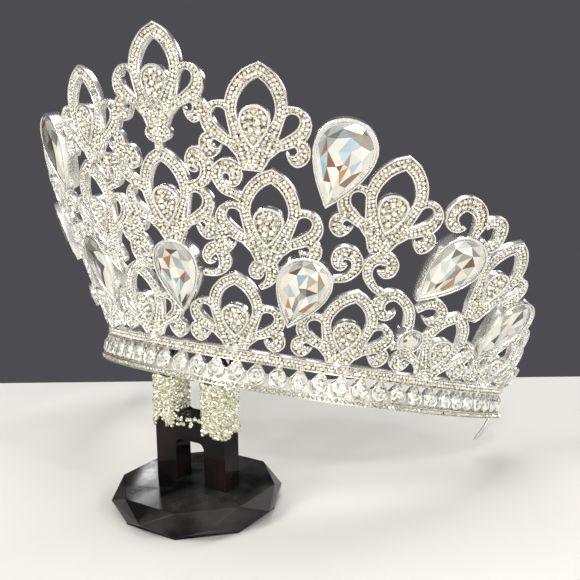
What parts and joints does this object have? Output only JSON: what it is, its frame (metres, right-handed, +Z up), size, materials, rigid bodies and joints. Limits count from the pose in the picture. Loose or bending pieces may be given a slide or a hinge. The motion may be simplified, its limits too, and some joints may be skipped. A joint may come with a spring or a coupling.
{
  "type": "pageant crown on display stand",
  "caption": "Tall silver pageant crown of pierced fleur scrollwork set with pear crystals, seated pitched back on a black H-shaped post with a faceted base.",
  "frame": {"origin": "middle of the underside of the stand's base", "axes": "+Z up, -Y to the crown's front, +X to the right as seen from the front"},
  "size_m": [0.1799, 0.1126, 0.1452],
  "materials": {
    "silver": "bright silver plating on cast alloy, set with fine clear stones",
    "crystal": "clear cut crystal with a foiled back",
    "champagne_crystal": "small cut stones with a champagne foil",
    "black_crystal": "polished opaque black"
  },
  "bodies": {
    "root": {"crown_frame": "silver", "band_stones": "crystal", "pear_front": "crystal", "pear_low_right": "crystal", "pear_low_left": "crystal", "pear_high_right": "crystal", "pear_high_left": "crystal", "pear_side_right": "crystal", "pear_side_left": "crystal", "pear_end_right": "crystal", "pear_end_left": "crystal", "round_side_right": "crystal", "round_side_left": "crystal", "round_end_right": "crystal", "round_end_left": "crystal", "stand_post": "black_crystal", "stand_base": "black_crystal"}
  },
  "joints": []
}
